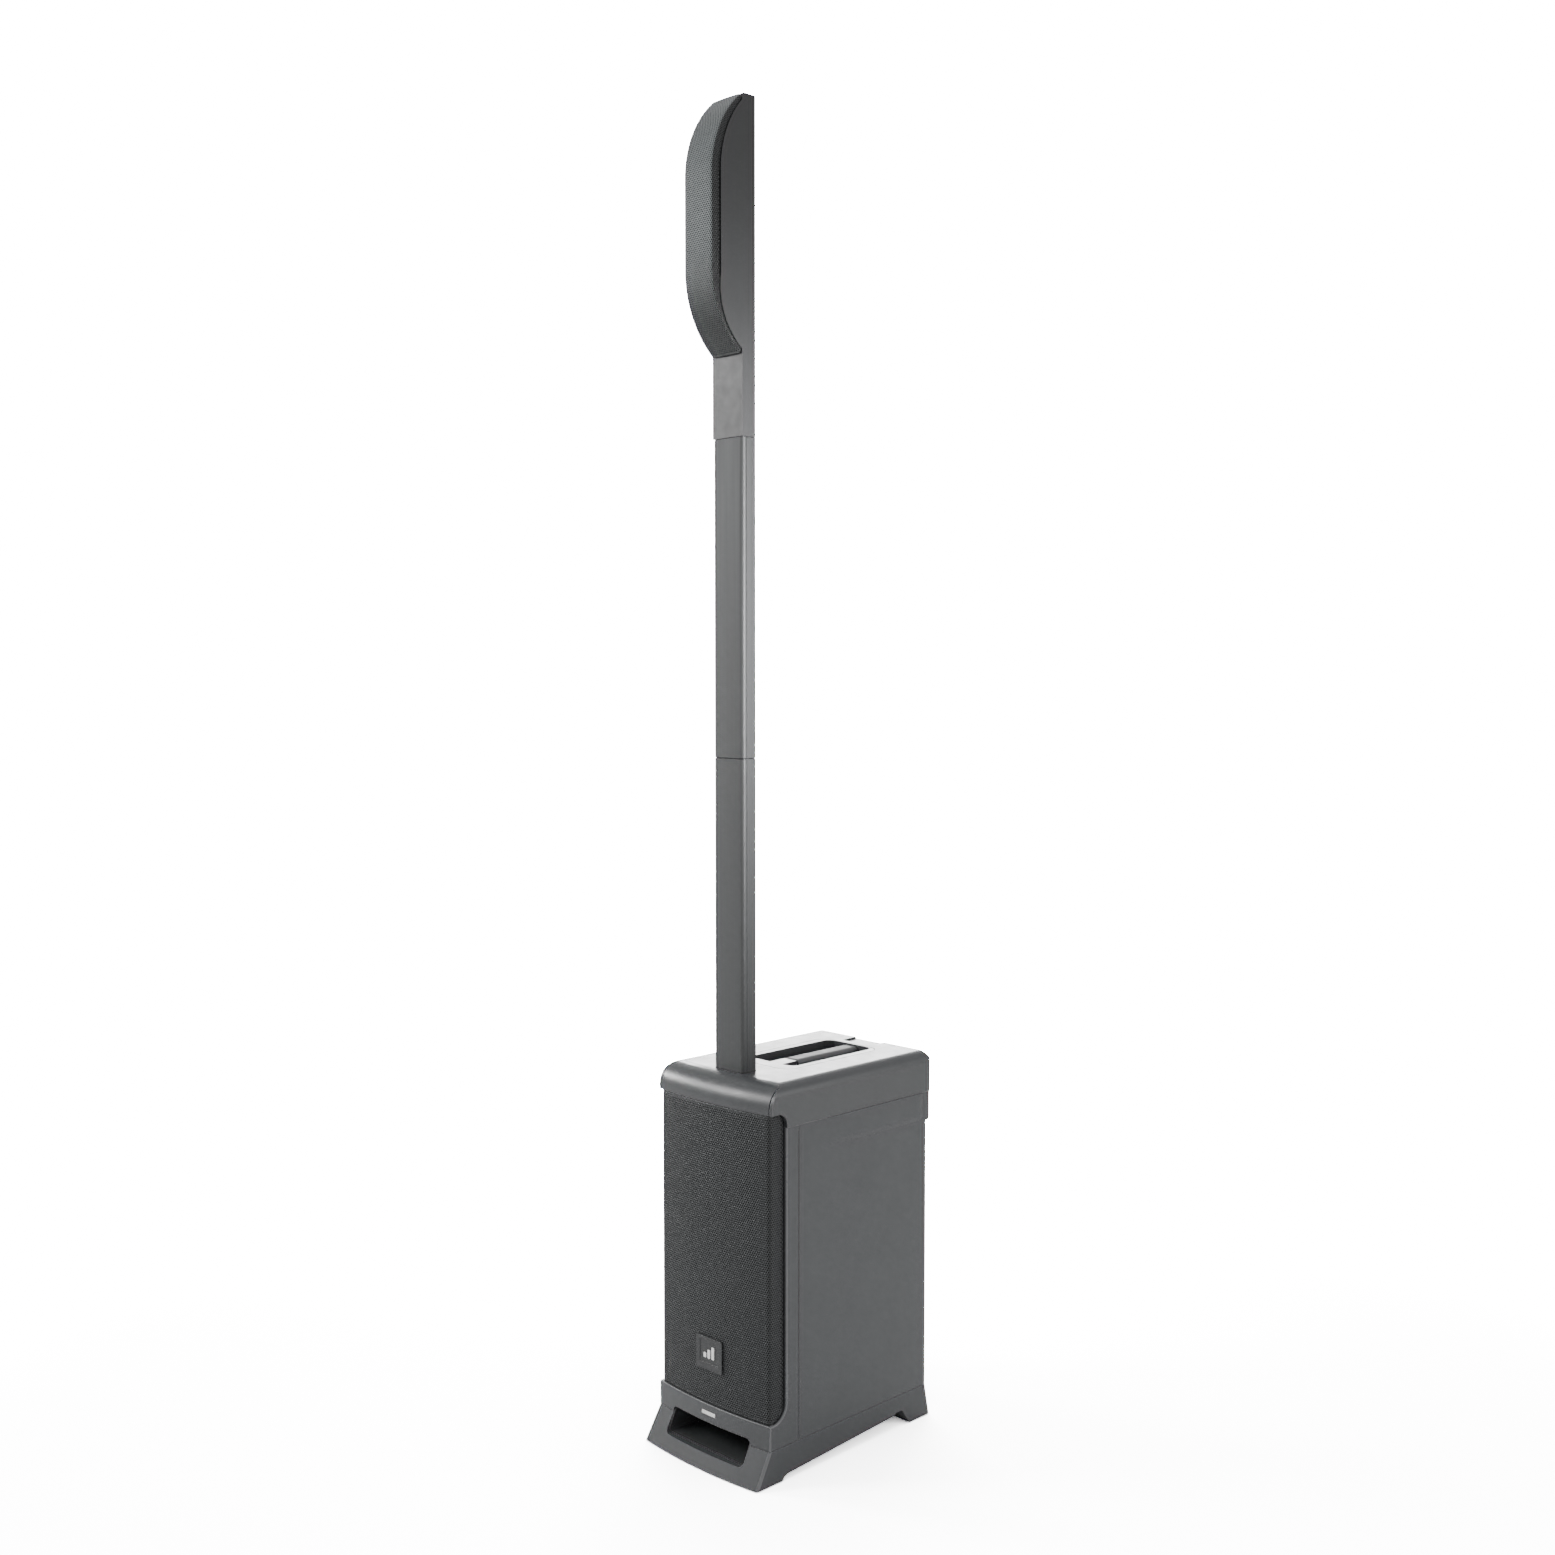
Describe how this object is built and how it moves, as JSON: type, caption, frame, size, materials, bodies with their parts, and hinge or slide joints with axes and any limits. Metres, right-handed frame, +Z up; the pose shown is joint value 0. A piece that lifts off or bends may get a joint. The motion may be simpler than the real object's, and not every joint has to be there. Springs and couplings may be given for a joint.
{
  "type": "pa speaker",
  "caption": "Portable column PA speaker: a ported subwoofer cabinet with a carrying grip and rear controls, carrying a sectional column and a curved line array.",
  "frame": {"origin": "middle of the footprint, on the floor", "axes": "+Z up along the column, -Y out of the front grille, +X to the right hand of someone facing the front"},
  "size_m": [0.2586, 0.4148, 2.1],
  "materials": {
    "cabinet_plastic": "satin",
    "plinth_plastic": "satin",
    "cap_plastic": "satin",
    "grille_steel": "matte",
    "array_grille_steel": "matte",
    "column_aluminium": "satin",
    "array_plastic": "satin",
    "rubber": "matte",
    "grip_rubber": "matte",
    "black_plastic": "satin",
    "foam": "matte",
    "baffle_board": "matte",
    "badge_grey": "satin",
    "white_paint": "satin",
    "steel": "satin",
    "black_steel": "satin",
    "ferrite": "matte",
    "paper": "matte",
    "copper": "bright",
    "gold": "bright",
    "surround_rubber": "matte",
    "spider_cloth": "matte",
    "panel_metal": "matte",
    "display_glass": "polished",
    "knob_rubber": "matte",
    "heatsink_aluminium": "satin",
    "circuit_board": "satin"
  },
  "bodies": {
    "base": {"amplifier_board": "circuit_board", "badge_emblem": "white_paint", "badge_plate": "badge_grey", "baffle_screws": "black_steel", "cabinet_shell": "cabinet_plastic", "column_socket": "black_plastic", "combo_jack_1": "black_plastic", "combo_jack_2": "black_plastic", "display_window": "display_glass", "front_baffle": "baffle_board", "front_frame": "cabinet_plastic", "grille_foam": "foam", "handle_grip": "grip_rubber", "heatsink": "heatsink_aluminium", "line_output": "black_plastic", "name_tag": "white_paint", "panel_screws": "black_steel", "plinth": "plinth_plastic", "port_duct": "black_plastic", "power_inlet": "black_plastic", "power_supply": "circuit_board", "rear_panel": "panel_metal", "rubber_feet": "rubber", "socket_contacts": "gold", "sub_grille": "grille_steel", "top_cap": "cap_plastic", "woofer_basket": "black_steel", "woofer_gasket": "foam", "woofer_magnet": "ferrite", "woofer_pole_plates": "steel", "woofer_screws": "black_steel", "woofer_spider": "spider_cloth", "woofer_surround": "surround_rubber"},
    "woofer_moving": {"woofer_cone": "paper", "woofer_dust_cap": "paper", "woofer_voice_coil": "copper"},
    "main_encoder": {"main_encoder": "knob_rubber"},
    "level_knob_1": {"level_knob_1": "knob_rubber"},
    "level_knob_2": {"level_knob_2": "knob_rubber"},
    "level_knob_3": {"level_knob_3": "knob_rubber"},
    "menu_button": {"menu_button": "knob_rubber"},
    "back_button": {"back_button": "knob_rubber"},
    "power_rocker": {"power_rocker": "black_plastic"},
    "column_lower": {"column_lower": "column_aluminium", "lower_tongue": "black_plastic"},
    "column_upper": {"column_upper": "column_aluminium", "upper_tongue": "black_plastic"},
    "array": {"array_housing": "array_plastic", "array_tongue": "black_plastic", "array_baffle": "black_plastic", "array_grille": "array_grille_steel", "array_cones": "paper", "array_driver_1": "black_steel", "array_driver_2": "black_steel", "array_driver_3": "black_steel", "array_driver_4": "black_steel", "array_driver_5": "black_steel", "array_driver_6": "black_steel", "array_driver_7": "black_steel", "array_driver_8": "black_steel"}
  },
  "joints": [
    {"name": "column_lower_lift", "type": "slide", "parent": "base", "child": "column_lower", "axis": [0, 0, 1], "range_m": [0, 0.07]},
    {"name": "column_upper_lift", "type": "slide", "parent": "column_lower", "child": "column_upper", "axis": [0, 0, 1], "range_m": [0, 0.07]},
    {"name": "array_lift", "type": "slide", "parent": "column_upper", "child": "array", "axis": [0, 0, 1], "range_m": [0, 0.07]},
    {"name": "woofer_travel", "type": "slide", "parent": "base", "child": "woofer_moving", "axis": [0, -1, 0], "range_m": [-0.005, 0.005], "stiffness_N_per_m": 2500, "deforming": ["woofer_surround", "woofer_spider"]},
    {"name": "main_encoder_turn", "type": "hinge", "parent": "base", "child": "main_encoder", "pos_m": [0, 0.19, 0.372], "axis": [0, 1, 0], "continuous": true},
    {"name": "level_knob_1_turn", "type": "hinge", "parent": "base", "child": "level_knob_1", "pos_m": [0.048, 0.19, 0.318], "axis": [0, 1, 0], "range_deg": [-150, 150]},
    {"name": "level_knob_2_turn", "type": "hinge", "parent": "base", "child": "level_knob_2", "pos_m": [0, 0.19, 0.318], "axis": [0, 1, 0], "range_deg": [-150, 150]},
    {"name": "level_knob_3_turn", "type": "hinge", "parent": "base", "child": "level_knob_3", "pos_m": [-0.048, 0.19, 0.318], "axis": [0, 1, 0], "range_deg": [-150, 150]},
    {"name": "menu_button_press", "type": "slide", "parent": "base", "child": "menu_button", "axis": [0, -1, 0], "range_m": [0, 0.0015], "stiffness_N_per_m": 500},
    {"name": "back_button_press", "type": "slide", "parent": "base", "child": "back_button", "axis": [0, -1, 0], "range_m": [0, 0.0015], "stiffness_N_per_m": 500},
    {"name": "power_rocker_tilt", "type": "hinge", "parent": "base", "child": "power_rocker", "pos_m": [-0.044, 0.186, 0.16], "axis": [1, 0, 0], "range_deg": [0, 16]}
  ]
}
